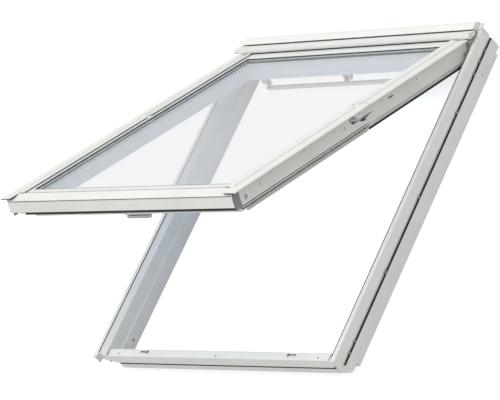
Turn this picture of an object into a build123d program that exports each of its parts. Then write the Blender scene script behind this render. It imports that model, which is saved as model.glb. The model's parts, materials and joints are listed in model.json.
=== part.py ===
from build123d import *
from math import cos, radians, sin, sqrt
import os

# Roof window with a top hinge and a centre pivot, open as it airs a room.
# X runs across, Y up the roof slope, Z out of the roof. The back of the frame lies on Z = 0.
os.makedirs("parts", exist_ok=True)

# Frame: outer size and section
frame_width = 942.0
frame_height = 1178.0
frame_depth = 100.0
side_width = 39.0
rebate_width = 32.0
ledge_height = 44.0
rebate_slope_width = 16.0
rebate_slope_drop = 14.0
groove_bottom = 50.0
groove_top = 64.0
groove_depth = 7.0
sheet = 1.5
side_cover_width = 14.0
side_top_setback = 13.0
upper_cover_low = 95.0
upper_cover_high = 23.0
seam = 0.6

# Frame: bottom and top members
bottom_setback = 13.0
bottom_height = 83.0
bottom_underside = 21.5
bottom_rebate = 27.0
bottom_member_width = 49.0
bottom_lip = 10.0
bottom_face_drop = 35.0
bottom_groove_drop = 7.0
top_member_width = 63.0

# Leaf: place of its outer plane over the frame, and the top hinge
open_angle = 30.34
leaf_rise = 7.6
leaf_start = 2.6
hinge_from_top = 48.0
hinge_rise = 12.0
hinge_pin_radius = 3.5
hinge_boss_radius = 8.0
pin_clearance = 0.25

# Arms and the rails of the sash
arm_gap = 2.5
arm_thickness = 11.0
arm_top = 4.0
arm_height = 26.0
arm_wall = 2.0
arm_before_pivot = 41.0
arm_end_from_top = 70.0
arm_taper = 7.5
arm_nose_radius = 24.0
rail_gap = 1.5
rail_width = 45.4
rail_depth = 82.0
rail_top = 6.0
rail_taper_start = 60.0
rail_taper_width = 22.0
glass_thickness = 24.0
glass_top = 8.0
glass_edge = 28.0
glass_gap = 3.0
glass_seat = 2.0

# Bottom and top rails of the sash, along the leaf
bottom_rail_start = 12.0
bottom_lip_depth = 20.0
bottom_step = 42.0
bottom_rail_inner_step = 64.0
bottom_rail_end = 90.0
bottom_glass_edge = 73.0
top_glass_from_top = 100.0
top_rail_from_top = 127.0
top_rail_draft = 5.0
top_rail_lip = 20.0
top_rail_lip_depth = 3.0
top_rail_taper = 8.0

# Centre pivot: a curved shoe on the sash in a half-round track on the arm
pivot_above_middle = 13.0
track_radius = 46.0
track_width = 8.0
track_plate_radius = 54.0
track_plate_thickness = 10.0
track_depth = 7.5
shoe_clearance = 0.5
shoe_start = 4.5
shoe_span = 9.0
carrier_thickness = 2.0
pivot_clearance = 1.0

# Left lower corner of the frame, cut back under the sill
cutback_height = 58.0
cutback_length = 58.0

# Covers of the leaf
cover_overhang = 20.5
cover_inset = 33.0
cover_crease_inset = 2.0
cover_ridge_inset = 26.5
cover_fall_inset = 24.0
cover_ridge_height = 3.5
strip_inset = 8.0
joint_inner_above = 19.0
joint_peak_above = 28.0
joint_outer_above = 10.0
joint_gap = 1.2
bottom_cover_beyond = 2.5
bottom_cover_face = 36.0
bottom_cover_ridge = 39.0
bottom_cover_end = 80.0

# Casing on the arms and hood on the frame
casing_from_top = 80.0
casing_width = 34.5
casing_low = 2.0
casing_top = 16.0
casing_setback = 6.0
hood_from_top = 37.0
hood_edge_from_top = 16.0
hood_lip_height = 19.5
hood_top = 24.0

# Values worked out from the sizes above
half_width = frame_width / 2
half_height = frame_height / 2
rebate_x = half_width - rebate_width
inner_x = half_width - side_width
arm_outer = rebate_x - arm_gap
arm_inner = arm_outer - arm_thickness
arm_bottom = arm_top + arm_height
rail_outer = arm_inner - rail_gap
rail_inner = rail_outer - rail_width
cover_edge = arm_outer + cover_overhang
cover_inner = rail_outer - cover_inset
cover_crease = rail_outer - cover_crease_inset
cover_ridge = rail_outer - cover_ridge_inset
cover_fall = rail_outer - cover_fall_inset
strip_inner = rail_outer - strip_inset
bottom_cover_half = arm_outer + bottom_cover_beyond
hood_half = half_width - side_cover_width
hood_start = half_height - hood_from_top
hood_edge = half_height - hood_edge_from_top
casing_half = half_width - casing_setback
casing_start = frame_height - casing_from_top
casing_end = casing_start + casing_width
upper_cover_start = half_height - upper_cover_low
upper_cover_end = half_height - upper_cover_high
pivot_s = half_height + pivot_above_middle
arm_start = pivot_s - arm_before_pivot
arm_end = frame_height - arm_end_from_top
top_glass_edge = frame_height - top_glass_from_top
top_rail_start = frame_height - top_rail_from_top
top_rail_end = arm_end
glass_half = rail_outer - glass_edge
glass_bottom = glass_top + glass_thickness
rebate_floor = glass_bottom + glass_seat
hinge_y = half_height - hinge_from_top
hinge_z = frame_depth + hinge_rise
closed_y = leaf_start - half_height
closed_z = frame_depth + leaf_rise
hinge_s = hinge_y - closed_y
hinge_n = hinge_z - closed_z
bottom_front = bottom_setback - half_height
bottom_inner = bottom_front + bottom_member_width
top_inner = half_height - top_member_width

turn = radians(open_angle)
leaf_up = Vector(0, cos(turn), -sin(turn))
leaf_out = Vector(0, sin(turn), cos(turn))
leaf_origin = Vector(0, hinge_y, hinge_z) - leaf_up * hinge_s - leaf_out * hinge_n


def across(s):
    """Plane across the leaf at s, with x and n as its axes. Extruding by -L goes up the leaf."""
    return Plane(origin=leaf_origin + leaf_up * s, x_dir=(1, 0, 0), z_dir=leaf_up * -1)


def along(x):
    """Plane along the leaf at x, with s and n as its axes and its normal towards +X."""
    return Plane(origin=leaf_origin + Vector(x, 0, 0), x_dir=leaf_up, z_dir=(1, 0, 0))


def over(n):
    """Plane of the leaf at height n, with x and s as its axes and its normal outwards."""
    return Plane(origin=leaf_origin + leaf_out * n, x_dir=(1, 0, 0), z_dir=leaf_out)


def save(piece, name):
    """Label a finished piece and write it."""
    piece.label = name
    export_step(piece, f"parts/{name}.step")


def save_pair(piece, name):
    """Write a right-hand piece and its mirror image on the left."""
    save(piece, f"{name}_right")
    save(mirror(piece, about=Plane.YZ), f"{name}_left")


def save_both(piece, name):
    """Write a right-hand piece and its mirror image as one group of separate solids."""
    save(piece + mirror(piece, about=Plane.YZ), name)


# Frame side member: rebated inside, grooved outside for the flashing
frame_side_bottom = bottom_front + sheet
frame_side_top = half_height - side_top_setback
upper_foot_start = half_height - 40.0
upper_foot_rise = 13.0
side_foot_start = -half_height + 52.0
side_foot_rise = 15.5
member_top = frame_depth - sheet
cover_inner_x = half_width - side_cover_width
fixing_hole = 2.6
fixing_depth = 30.0
plate_low = -half_height + 25.0
plate_high = -half_height + 55.0
plate_height = 35.0
plate_width = 17.0
plate_corner = 5.0
plate_pocket = 1.6
fixing_height = 25.0
fixing_low = -half_height + 96.0
fixing_high = half_height - 130.0
bush_radius = 7.0
bolt_radius = 3.5
bolt_from_top = 76.5
bolt_s = frame_height - bolt_from_top
bolt_n = 42.0
pivot_range = 165.0
pivot_turn = radians(pivot_range)
bush_y = closed_y + pivot_s + (bolt_s - pivot_s) * cos(pivot_turn) - bolt_n * sin(pivot_turn)
bush_z = closed_z - (bolt_s - pivot_s) * sin(pivot_turn) - bolt_n * cos(pivot_turn)
with BuildPart() as frame_side:
    with BuildSketch(Plane.XZ.offset(-frame_side_bottom)):
        with BuildLine():
            Polyline(
                (inner_x, 0),
                (half_width, 0),
                (half_width, groove_bottom),
                (half_width - groove_depth, groove_bottom),
                (half_width - groove_depth, groove_top),
                (half_width - sheet, groove_top),
                (half_width - sheet, member_top),
                (half_width - rebate_slope_width, member_top),
                (rebate_x, frame_depth - rebate_slope_drop),
                (rebate_x, ledge_height),
                (inner_x, ledge_height),
                close=True,
            )
        make_face()
    extrude(amount=frame_side_bottom - frame_side_top)
    with BuildSketch(Plane.YZ.offset(inner_x - 1)):
        with BuildLine():
            Polyline(
                (frame_side_bottom - 1, -1),
                (side_foot_start, -1),
                (side_foot_start, side_foot_rise),
                (frame_side_bottom + 11, side_foot_rise),
                (frame_side_bottom, bottom_underside),
                (frame_side_bottom - 1, bottom_underside),
                close=True,
            )
        make_face()
    extrude(amount=side_width + 2, mode=Mode.SUBTRACT)
    with BuildSketch(Plane.YZ.offset(inner_x - 1)):
        with BuildLine():
            Polyline(
                (upper_foot_start, -1),
                (upper_foot_start, upper_foot_rise),
                (frame_side_top - 4, upper_foot_rise - 4),
                (frame_side_top + 1, upper_foot_rise - 4),
                (frame_side_top + 1, -1),
                close=True,
            )
        make_face()
    extrude(amount=side_width + 2, mode=Mode.SUBTRACT)
    with Locations(Plane.YZ.offset(half_width)):
        with Locations((fixing_low, fixing_height), (fixing_high, fixing_height)):
            Hole(fixing_hole, depth=fixing_depth)
    with BuildSketch(Plane.YZ.offset(half_width)):
        with Locations(((plate_low + plate_high) / 2, plate_height)):
            RectangleRounded(plate_high - plate_low + seam, plate_width + seam, plate_corner)
    extrude(amount=-plate_pocket, mode=Mode.SUBTRACT)
side_blank = frame_side.part

with BuildPart() as bush_hole:
    with BuildSketch(Plane.YZ.offset(inner_x)):
        with Locations((bush_y, bush_z)):
            Circle(bush_radius)
    extrude(amount=10, both=True)
with BuildPart() as corner_cut:
    with BuildSketch(Plane.YZ.offset(inner_x - 1)):
        with BuildLine():
            Polyline(
                (frame_side_bottom - 1, -1),
                (side_foot_start, -1),
                (side_foot_start, ledge_height),
                (side_foot_start - 9, cutback_height),
                (frame_side_bottom - 1, cutback_height),
                close=True,
            )
        make_face()
    extrude(amount=side_width + 2)
frame_side_left = mirror(side_blank - bush_hole.part - corner_cut.part, about=Plane.YZ)
save(side_blank, "frame_side_right")
save(frame_side_left, "frame_side_left")

# Bush that takes the barrel bolt when the sash is turned for cleaning
with BuildPart() as bolt_bush:
    with BuildSketch(Plane.YZ.offset(inner_x)):
        with Locations((bush_y, bush_z)):
            Circle(bush_radius)
            Circle(bolt_radius + 1, mode=Mode.SUBTRACT)
    extrude(amount=10)
    with BuildSketch(Plane.YZ.offset(inner_x + 10)):
        with Locations((bush_y, bush_z)):
            Circle(bush_radius)
    extrude(amount=-1.5)
save(mirror(bolt_bush.part, about=Plane.YZ), "bolt_bush")

# Frame bottom member: rebated inside for the sash and under its front edge
bottom_top = bottom_height - sheet
bottom_rebate_y = bottom_front + bottom_rebate
bottom_core_front = bottom_front + sheet
strip_top = bottom_height - bottom_face_drop - bottom_groove_drop
striker_x = 288.0
striker_slot_length = 44.0
striker_slot_width = 13.0
striker_y = bottom_front + 17.0
tongue_travel = 14.0
tongue_x = striker_x - 12.0
tongue_shank = 2.3
tongue_head = 5.0
tongue_s = striker_y - closed_y
with BuildPart() as frame_bottom:
    with BuildSketch(Plane.YZ.offset(-inner_x)):
        with BuildLine():
            Polyline(
                (bottom_front, bottom_underside),
                (bottom_inner - bottom_lip, bottom_underside),
                (bottom_inner - bottom_lip, 0),
                (bottom_inner, 0),
                (bottom_inner, ledge_height),
                (bottom_rebate_y, ledge_height),
                (bottom_rebate_y, bottom_top),
                (bottom_core_front, bottom_top),
                (bottom_core_front, strip_top),
                (bottom_front, strip_top),
                close=True,
            )
        make_face()
    extrude(amount=2 * inner_x)
    with BuildSketch(Plane.XY.offset(bottom_top)):
        with Locations((-striker_x, striker_y), (striker_x, striker_y)):
            Rectangle(striker_slot_length, striker_slot_width)
    extrude(amount=-14, mode=Mode.SUBTRACT)
    with BuildSketch(Plane.XY.offset(-1)):
        with BuildLine():
            Polyline(
                (-inner_x - 1, bottom_front - 1),
                (cutback_length - half_width, bottom_front - 1),
                (-inner_x - 1, bottom_inner - bottom_lip),
                close=True,
            )
        make_face()
    extrude(amount=strip_top + bottom_groove_drop + 1, mode=Mode.SUBTRACT)
save(frame_bottom.part, "frame_bottom")

# Aluminium cover over the bottom member, with tabs that close the ends of the sides
sill_low = bottom_height - bottom_face_drop
tab_slope_z = frame_depth - rebate_slope_drop
sill_depth = 22.0
with BuildPart() as bottom_sill:
    with BuildSketch(Plane.YZ.offset(-rebate_x)):
        with BuildLine():
            Polyline(
                (bottom_front, sill_low),
                (bottom_front, bottom_height),
                (bottom_front + sill_depth, bottom_height),
                (bottom_front + sill_depth, bottom_top),
                (bottom_core_front, bottom_top),
                (bottom_core_front, sill_low),
                close=True,
            )
        make_face()
    extrude(amount=2 * rebate_x)
    for side in (-1, 1):
        with BuildSketch(Plane.XZ.offset(-bottom_core_front)):
            with BuildLine():
                Polyline(
                    (side * (rebate_x - 1), cutback_height),
                    (side * cover_inner_x, cutback_height),
                    (side * cover_inner_x, member_top),
                    (side * (half_width - rebate_slope_width), member_top),
                    (side * rebate_x, tab_slope_z),
                    (side * (rebate_x - 1), bottom_height),
                    close=True,
                )
            make_face()
        extrude(amount=sheet)
        with BuildSketch(Plane.XZ.offset(-bottom_core_front - 1)):
            with BuildLine():
                Polyline(
                    (side * (rebate_x + 1), cutback_height),
                    (side * (rebate_x - 3), cutback_height),
                    (side * (rebate_x - 12), sill_low),
                    (side * (rebate_x - 12), sill_low - 1),
                    (side * (rebate_x + 1), sill_low - 1),
                    close=True,
                )
            make_face()
        extrude(amount=sheet + 2, mode=Mode.SUBTRACT)
    with BuildSketch(Plane.XY.offset(bottom_height)):
        with Locations((-striker_x, striker_y), (striker_x, striker_y)):
            Rectangle(striker_slot_length + 18, striker_slot_width + 4)
        for side in (-1, 1):
            with BuildLine():
                Polyline(
                    (side * inner_x, bottom_core_front),
                    (side * (rebate_x + 1), bottom_core_front),
                    (side * (rebate_x + 1), bottom_rebate_y),
                    (side * inner_x, bottom_rebate_y),
                    close=True,
                )
            make_face()
    extrude(amount=-sheet, mode=Mode.SUBTRACT)
save(bottom_sill.part, "frame_bottom_cover")

# Dark seal in the groove under the bottom cover
with BuildPart() as sill_seal:
    with BuildSketch(Plane.YZ.offset(cutback_length - half_width)):
        with Locations((bottom_core_front - 0.5, strip_top + bottom_groove_drop / 2)):
            Rectangle(1, bottom_groove_drop)
    extrude(amount=half_width - cutback_length + inner_x)
save(sill_seal.part, "frame_bottom_seal")

# Striker plates for the two lock tongues
with BuildPart() as striker_plates:
    with BuildSketch(Plane.XY.offset(bottom_top)):
        with Locations((-striker_x, striker_y), (striker_x, striker_y)):
            Rectangle(striker_slot_length + 17, striker_slot_width + 3)
            SlotOverall(striker_slot_length - 8, 2 * tongue_shank + 1.4, mode=Mode.SUBTRACT)
        with Locations((-tongue_x, striker_y), (tongue_x, striker_y)):
            Circle(tongue_head + 0.8, mode=Mode.SUBTRACT)
    extrude(amount=sheet + 0.6)
save(striker_plates.part, "striker_plates")

# Frame top member, which also fills the side rebates at its ends
with BuildPart() as frame_top:
    with BuildSketch(Plane.XZ.offset(-top_inner)):
        with BuildLine():
            Polyline(
                (-inner_x, 0),
                (inner_x, 0),
                (inner_x, ledge_height),
                (rebate_x, ledge_height),
                (rebate_x, frame_depth),
                (-rebate_x, frame_depth),
                (-rebate_x, ledge_height),
                (-inner_x, ledge_height),
                close=True,
            )
        make_face()
    extrude(amount=-top_member_width)
save(frame_top.part, "frame_top")


# Side covers of the frame, in a long lower piece, a short upper piece and an end piece
def side_cover(y_start, y_end):
    """Angle of sheet over the side member from y_start to y_end."""
    with BuildPart() as piece:
        with BuildSketch(Plane.XZ.offset(-y_start)):
            with BuildLine():
                Polyline(
                    (cover_inner_x, member_top),
                    (cover_inner_x, frame_depth),
                    (half_width, frame_depth),
                    (half_width, groove_top),
                    (half_width - sheet, groove_top),
                    (half_width - sheet, member_top),
                    close=True,
                )
            make_face()
        extrude(amount=y_start - y_end)
    return piece.part


save_pair(side_cover(-half_height, upper_cover_start), "frame_cover")
save_both(side_cover(upper_cover_start + seam, upper_cover_end), "frame_cover_upper")

# End pieces of the side covers, with a rounded upstand bar beside the hood
upstand_start = top_inner + 1
upstand_width = 11.0
upstand_height = 5.0
with BuildPart() as end_cap:
    with BuildSketch(Plane.XZ.offset(-upper_cover_end - seam)):
        with BuildLine():
            Polyline(
                (cover_inner_x, member_top),
                (cover_inner_x, frame_depth),
                (half_width, frame_depth),
                (half_width, groove_top),
                (half_width - sheet, groove_top),
                (half_width - sheet, member_top),
                close=True,
            )
        make_face()
    extrude(amount=upper_cover_end + seam - frame_side_top)
    with BuildSketch(Plane.XZ.offset(-upper_cover_end - seam)):
        with Locations((cover_inner_x + 1 + upstand_width / 2, frame_depth + upstand_height / 2)):
            RectangleRounded(upstand_width, upstand_height + 2, 2)
        with Locations((cover_inner_x + 1 + upstand_width / 2, frame_depth - 2)):
            Rectangle(upstand_width, 4, mode=Mode.SUBTRACT)
    extrude(amount=upper_cover_end + seam - half_height)
save_both(end_cap.part, "frame_end_caps")

# Seals between the side covers and the sloped rebate
side_seal_width = 2.0
with BuildPart() as side_seal:
    with BuildSketch(Plane.XZ.offset(-frame_side_bottom)):
        with Locations((cover_inner_x - side_seal_width / 2, member_top + 1)):
            Rectangle(side_seal_width, 2)
    extrude(amount=frame_side_bottom - upper_cover_start)
save_both(side_seal.part, "frame_side_seals")

# Clips in the flashing groove
clip_length = 9.0
clips_from_bottom = [58, 98, 330, 589, 889]
clips_from_top = [150, 104, 62]
clip_places = [low - half_height for low in clips_from_bottom]
clip_places = clip_places + [half_height - high for high in clips_from_top]
with BuildPart() as groove_clips:
    with BuildSketch(Plane.YZ.offset(half_width - groove_depth)):
        for clip_y in clip_places:
            with Locations((clip_y, (groove_bottom + groove_top) / 2)):
                RectangleRounded(clip_length, groove_top - groove_bottom, 1.5)
    extrude(amount=groove_depth - sheet)
save_both(groove_clips.part, "groove_clips")

# Corner plates let into the sides at the lower ends, with two screws each
with BuildPart() as corner_plate:
    with BuildSketch(Plane.YZ.offset(half_width - plate_pocket)):
        with Locations(((plate_low + plate_high) / 2, plate_height)):
            RectangleRounded(plate_high - plate_low, plate_width, plate_corner)
    extrude(amount=0.8)
    with BuildSketch(Plane.YZ.offset(half_width - plate_pocket + 0.8)):
        with Locations((plate_low + 8, plate_height), (plate_high - 8, plate_height)):
            Circle(3)
            Rectangle(4, 0.8, mode=Mode.SUBTRACT)
    extrude(amount=0.6)
save_both(corner_plate.part, "corner_plates")

# Hood over the hinges: a folded sheet with a hollow underside
hood_wall = 1.5
lip_z = frame_depth + hood_lip_height
with BuildPart() as hood:
    with BuildSketch(Plane.YZ.offset(-hood_half + hood_wall)):
        with BuildLine():
            Polyline(
                (hood_start, lip_z),
                (hood_start, lip_z + 3),
                (hood_edge, frame_depth + hood_top),
                (half_height, frame_depth + 13),
                (half_height, frame_depth),
                (half_height - hood_wall, frame_depth),
                (half_height - hood_wall, frame_depth + 12),
                (hood_edge - 0.5, frame_depth + hood_top - hood_wall),
                (hood_start + hood_wall, lip_z + 3 - hood_wall),
                (hood_start + hood_wall, lip_z),
                close=True,
            )
        make_face()
    extrude(amount=2 * (hood_half - hood_wall))
save(hood.part, "hood")

# Closed ends of the hood
with BuildPart() as hood_cap:
    with BuildSketch(Plane.YZ.offset(hood_half - hood_wall)):
        with BuildLine():
            Polyline(
                (hood_start + 10, frame_depth),
                (hood_start + 5, lip_z - 3),
                (hood_start + 1, lip_z),
                (hood_start, lip_z + 3),
                (hood_edge, frame_depth + hood_top),
                (half_height, frame_depth + 13),
                (half_height, frame_depth),
                close=True,
            )
        make_face()
    extrude(amount=hood_wall)
save_both(hood_cap.part, "hood_caps")

# Hinge bracket on the top member, with an ear on either side of the arm
ear = 3.0
ear_gap = 0.5
hinge_base = 2.5
with BuildPart() as frame_hinge:
    ear_faces = (arm_inner - ear_gap - ear, arm_outer + ear_gap)
    for face_x in ear_faces:
        with BuildSketch(Plane.YZ.offset(face_x)):
            with BuildLine():
                Polyline(
                    (hinge_y - 12, frame_depth),
                    (hinge_y + 9, frame_depth),
                    (hinge_y + 7, hinge_z),
                    (hinge_y - 7, hinge_z),
                    close=True,
                )
            make_face()
            with Locations((hinge_y, hinge_z)):
                Circle(7)
                Circle(hinge_pin_radius, mode=Mode.SUBTRACT)
        extrude(amount=ear)
    with BuildSketch(Plane.XY.offset(frame_depth)):
        with Locations(((ear_faces[0] + ear_faces[1] + ear) / 2, hinge_y + 2)):
            Rectangle(ear_faces[1] + ear - ear_faces[0], 28)
        with Locations((ear_faces[0] - 12, hinge_y + 2)):
            Rectangle(24, 28)
    extrude(amount=hinge_base)
    with Locations(Plane.XY.offset(frame_depth + hinge_base)):
        with Locations((ear_faces[0] - 14, hinge_y - 5), (ear_faces[0] - 14, hinge_y + 10)):
            CounterSinkHole(1.8, 3.2)
save_both(frame_hinge.part, "frame_hinges")

# Hinge pins
with BuildPart() as hinge_pin:
    with BuildSketch(Plane.YZ.offset(ear_faces[0] - 1)):
        with Locations((hinge_y, hinge_z)):
            Circle(hinge_pin_radius)
    extrude(amount=ear_faces[1] + ear + 1 - ear_faces[0])
    with BuildSketch(Plane.YZ.offset(ear_faces[0] - 1)):
        with Locations((hinge_y, hinge_z)):
            Circle(hinge_pin_radius + 1.5)
    extrude(amount=-1.2)
save_both(hinge_pin.part, "hinge_pins")

# Screws along the bottom cover of the frame
sill_screw_x = inner_x - 42.0
sill_screw_y = bottom_front + 9.0
with BuildPart() as frame_screws:
    with BuildSketch(Plane.XY.offset(bottom_height)):
        with Locations((-sill_screw_x, sill_screw_y), (0, sill_screw_y), (sill_screw_x, sill_screw_y)):
            Circle(3.2)
            RegularPolygon(1.4, 6, mode=Mode.SUBTRACT)
    extrude(amount=1.0)
save(frame_screws.part, "frame_screws")

# Arm: a hollow bar with a rounded nose, a strap up to the hinge pin and a plate on its outer face
slot_above = 129.0
slot_n = 25.0
slot_length = 24.0
slot_width = 3.5
slot_depth = 1.8
strap_start = frame_height - 318.0
strap_end = casing_start + 2
strap_drop = 33.0
strap_thickness = 1.2
with BuildPart() as arm:
    with BuildSketch(along(arm_inner)):
        with BuildLine():
            Line((arm_start, -arm_top), (arm_end, -arm_top))
            Line((arm_end, -arm_top), (arm_end, -arm_bottom - arm_taper))
            Line((arm_end, -arm_bottom - arm_taper), (arm_start + arm_nose_radius, -arm_bottom))
            CenterArc(
                (arm_start + arm_nose_radius, arm_nose_radius - arm_bottom), arm_nose_radius, 180, 90
            )
            Line((arm_start, arm_nose_radius - arm_bottom), (arm_start, -arm_top))
        make_face()
    extrude(amount=arm_thickness)
    with BuildSketch(across(arm_start + 2 * arm_nose_radius)):
        with Locations(((arm_inner + arm_outer) / 2, -(arm_top + arm_bottom) / 2)):
            Rectangle(arm_thickness - 2 * arm_wall, arm_height - 2 * arm_wall)
    extrude(amount=-(arm_end - arm_start - 3 * arm_nose_radius), mode=Mode.SUBTRACT)
    with BuildSketch(along(arm_inner)):
        with BuildLine():
            Polyline(
                (casing_start + 3, -arm_top - 1),
                (casing_start + 3, hinge_n + 1),
                (hinge_s, hinge_n + hinge_boss_radius - 0.1),
                (hinge_s, hinge_n - hinge_boss_radius + 0.1),
                (arm_end, -arm_top),
                (arm_end, -arm_top - 1),
                close=True,
            )
        make_face()
        with Locations((hinge_s, hinge_n)):
            Circle(hinge_boss_radius)
    extrude(amount=arm_thickness)
    with Locations(along(arm_inner)):
        with Locations((hinge_s, hinge_n)):
            Hole(hinge_pin_radius + pin_clearance)
    with BuildSketch(along(arm_outer)):
        with Locations((pivot_s + slot_above, -slot_n)):
            SlotOverall(slot_length, slot_width)
    extrude(amount=-slot_depth, mode=Mode.SUBTRACT)
    with BuildSketch(along(arm_outer)):
        with BuildLine():
            Polyline(
                (strap_start, -arm_top),
                (strap_start + 55, -arm_top - 10),
                (strap_end - 79, -arm_top - 25),
                (strap_end - 7, -arm_top - strap_drop),
                (strap_end, -arm_top - strap_drop + 1),
                (strap_end, -arm_top),
                close=True,
            )
        make_face()
    extrude(amount=strap_thickness)
save_pair(arm.part, "arm")

# Spring cartridge inside each arm
with BuildPart() as spring:
    with BuildSketch(across(arm_start + 2 * arm_nose_radius + 120)):
        with Locations(((arm_inner + arm_outer) / 2, -arm_bottom + arm_wall + 3.4)):
            Circle(3.3)
    extrude(amount=-260)
save_both(spring.part, "spring_cartridges")

# Skirt under the arm: a stepped extrusion that carries the seal
skirt_start = pivot_s + 7.0
skirt_slant = 6.0
skirt_low = 78.0
skirt_recess = 0.8
skirt_face_low = 58.5
skirt_rib_low = 62.5
skirt_foot_x = inner_x - 1
skirt_inner = arm_inner + 1
skirt_end = bolt_s - 14
wedge_length = 44.0
wedge_drop = 9.0
skirt_seal_top = 70.5
with BuildPart() as skirt:
    with BuildSketch(across(skirt_start)):
        with BuildLine():
            Polyline(
                (skirt_inner, -arm_bottom),
                (arm_outer - skirt_recess, -arm_bottom),
                (arm_outer - skirt_recess, -skirt_face_low),
                (arm_outer - 3.3, -skirt_face_low),
                (arm_outer - 3.3, -skirt_face_low - 1.5),
                (arm_outer - 1.3, -skirt_face_low - 1.5),
                (arm_outer - 1.3, -skirt_rib_low),
                (skirt_foot_x - 2.5, -skirt_rib_low - 0.5),
                (skirt_foot_x - 2.5, -skirt_rib_low - 2.5),
                (skirt_foot_x, -skirt_rib_low - 2.5),
                (skirt_foot_x, -skirt_rib_low - 5.5),
                (skirt_foot_x - 2.5, -skirt_rib_low - 5.5),
                (skirt_foot_x - 2.5, -skirt_seal_top),
                (skirt_inner, -skirt_seal_top),
                close=True,
            )
        make_face()
    extrude(amount=skirt_start - skirt_end)
    with BuildSketch(along(skirt_inner - 1)):
        with BuildLine():
            Polyline(
                (skirt_start - 1, -arm_bottom + 1),
                (skirt_start + wedge_length + 5, -arm_bottom + 1),
                (skirt_start + wedge_length, -arm_bottom),
                (skirt_start, -arm_bottom - wedge_drop),
                (skirt_start + skirt_slant, -skirt_low),
                (skirt_start - 1, -skirt_low),
                close=True,
            )
        make_face()
    extrude(amount=arm_thickness + 4, mode=Mode.SUBTRACT)
    with BuildSketch(along(skirt_inner - 1)):
        with BuildLine():
            Polyline(
                (arm_start + arm_nose_radius, -arm_bottom),
                (arm_end, -arm_bottom - arm_taper),
                (arm_end, -arm_bottom + 1),
                (arm_start + arm_nose_radius, -arm_bottom + 1),
                close=True,
            )
        make_face()
    extrude(amount=arm_thickness + 4, mode=Mode.SUBTRACT)
save_pair(skirt.part, "arm_skirt")

# Seal along the foot of the skirt
with BuildPart() as skirt_seal:
    with BuildSketch(across(skirt_start + skirt_slant)):
        with BuildLine():
            Polyline(
                (skirt_inner, -skirt_seal_top),
                (skirt_foot_x - 1, -skirt_seal_top),
                (skirt_foot_x - 0.5, -skirt_low + 3),
                (skirt_foot_x - 2, -skirt_low + 1),
                (skirt_inner, -skirt_low + 1),
                close=True,
            )
        make_face()
    extrude(amount=skirt_start + skirt_slant - skirt_end)
save_both(skirt_seal.part, "arm_seals")

# Screws of the arm
with BuildPart() as arm_screws:
    with BuildSketch(along(arm_outer)):
        with Locations((pivot_s - 16, -13), (pivot_s + 88, -21), (pivot_s + 256, -22)):
            Circle(3.4)
            RegularPolygon(1.5, 6, mode=Mode.SUBTRACT)
    extrude(amount=0.8)
save_both(arm_screws.part, "arm_screws")

# Cross bar that ties both arms, under the casing
bar_low = 3.0
bar_top = 13.1
bar_start = casing_start + 4
bar_end = casing_start + 14
with BuildPart() as crossbar:
    with BuildSketch(along(-arm_inner)):
        with BuildLine():
            Polyline(
                (bar_start, bar_low),
                (bar_end, bar_low),
                (bar_end, bar_low + 2),
                (bar_start + 2, bar_low + 2),
                (bar_start + 2, bar_top),
                (bar_start, bar_top),
                close=True,
            )
        make_face()
    extrude(amount=2 * arm_inner)
save(crossbar.part, "arm_crossbar")

# Casing over the upper end of the arms: a folded profile open underneath
casing_wall = 1.5
with BuildPart() as casing:
    with BuildSketch(along(-casing_half + casing_wall)):
        with BuildLine():
            Polyline(
                (casing_start, casing_low),
                (casing_start - 1, casing_low + 6),
                (casing_start + 2, casing_top - 2),
                (casing_start + 5, casing_top - 0.6),
                (casing_end - 8, casing_top),
                (casing_end, casing_top - 1),
                (casing_end - 1, casing_top - 2.6),
                (casing_end - 8, casing_top - casing_wall),
                (casing_start + 6, casing_top - 0.6 - casing_wall),
                (casing_start + 3.4, casing_top - 3),
                (casing_start + casing_wall - 1, casing_low + 6),
                (casing_start + casing_wall, casing_low),
                close=True,
            )
        make_face()
    extrude(amount=2 * (casing_half - casing_wall))
save(casing.part, "arm_casing")

# Corner pieces that wrap round the casing and close it, each held by a screw
wrap_length = 42.0
wrap_screw = 2.6
with BuildPart() as casing_corner:
    with BuildSketch(along(casing_half - casing_wall)):
        with BuildLine():
            Polyline(
                (casing_start - 1, casing_low - 1),
                (casing_start - 2, casing_low + 6),
                (casing_start + 2, casing_top - 1),
                (casing_end - 8, casing_top + 0.6),
                (casing_end, casing_top - 1),
                (casing_end - 3, casing_low + 4),
                (casing_end - 10, casing_low),
                close=True,
            )
        make_face()
    extrude(amount=casing_wall)
    with BuildSketch(along(casing_half - wrap_length)):
        with BuildLine():
            Polyline(
                (casing_start, casing_low),
                (casing_start - 0.8, casing_low),
                (casing_start - 1.9, casing_low + 6),
                (casing_start + 1.4, casing_top - 1.2),
                (casing_start + 4.7, casing_top + 0.3),
                (casing_end - 8, casing_top + 0.8),
                (casing_end - 8, casing_top),
                (casing_start + 5, casing_top - 0.6),
                (casing_start + 2, casing_top - 2),
                (casing_start - 1, casing_low + 6),
                close=True,
            )
        make_face()
    extrude(amount=wrap_length - casing_wall)
    with BuildSketch(over(casing_top + 0.5)):
        with Locations((casing_half - 6, casing_start + 8)):
            Circle(wrap_screw)
            Rectangle(2 * wrap_screw - 1, 0.8, mode=Mode.SUBTRACT)
    extrude(amount=1.2)
save_both(casing_corner.part, "casing_corners")


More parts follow.
